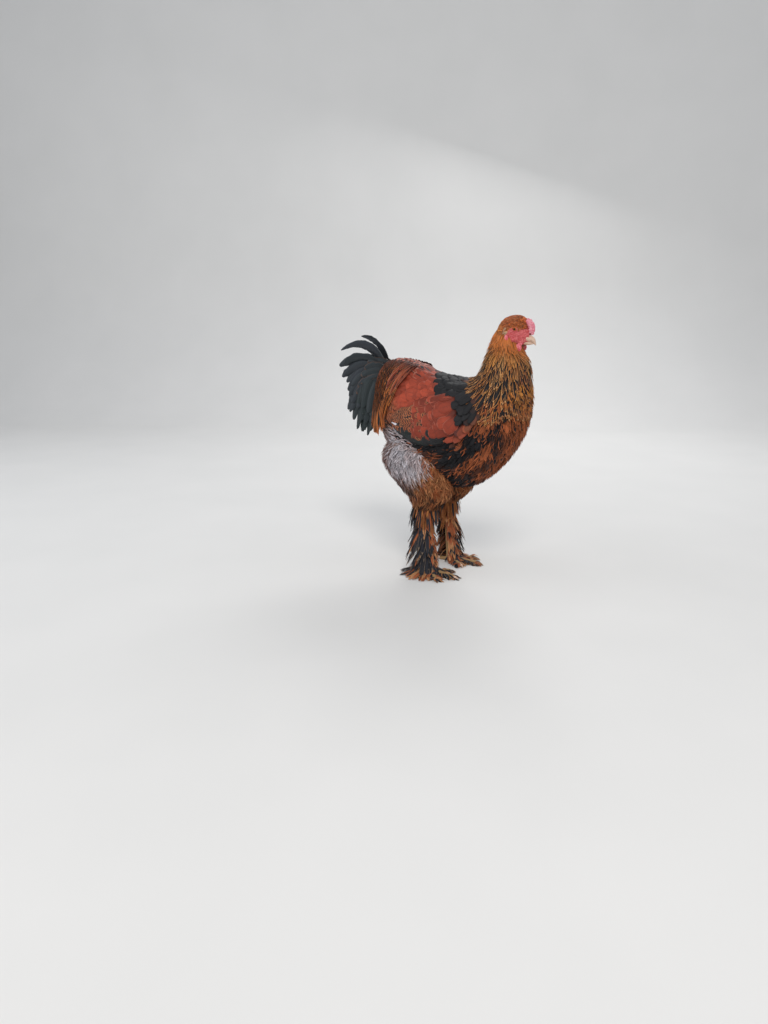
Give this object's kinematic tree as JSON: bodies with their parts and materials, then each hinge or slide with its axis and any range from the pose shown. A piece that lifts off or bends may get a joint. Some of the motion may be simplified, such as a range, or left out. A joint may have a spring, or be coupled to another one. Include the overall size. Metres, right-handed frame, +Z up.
{
  "type": "brahma chicken",
  "caption": "Standing Brahma cockerel with pea comb, hackle and saddle feathers, folded wings, low curved tail and feathered feet.",
  "frame": {"origin": "centre of the bounding box in plan, on the floor under the feet", "axes": "+X the way the bird faces, +Y its left side, +Z up"},
  "size_m": [0.525, 0.2432, 0.6222],
  "materials": {
    "neck_plumage": "matt",
    "body_plumage": "matt",
    "tail_plumage": "satin",
    "leg_plumage": "matt",
    "head_plumage": "matt",
    "bare_skin": "satin",
    "horn": "satin",
    "eye": "gloss"
  },
  "bodies": {
    "root": {"rump": "body_plumage", "torso": "body_plumage", "neck": "neck_plumage", "tail": "tail_plumage", "head": "head_plumage", "beak_upper": "horn", "beak_lower": "horn", "comb": "bare_skin", "eye_right": "eye", "eye_left": "eye", "earlobe_right": "bare_skin", "earlobe_left": "bare_skin", "wattle_right": "bare_skin", "wattle_left": "bare_skin", "wing_right": "body_plumage", "wing_left": "body_plumage", "thigh_right": "leg_plumage", "thigh_left": "leg_plumage", "shank_right": "leg_plumage", "shank_left": "leg_plumage", "foot_right": "leg_plumage", "foot_left": "leg_plumage", "claw_middle_right": "horn", "claw_inner_right": "horn", "claw_outer_right": "horn", "claw_hind_right": "horn", "claw_middle_left": "horn", "claw_inner_left": "horn", "claw_outer_left": "horn", "claw_hind_left": "horn"}
  },
  "joints": []
}
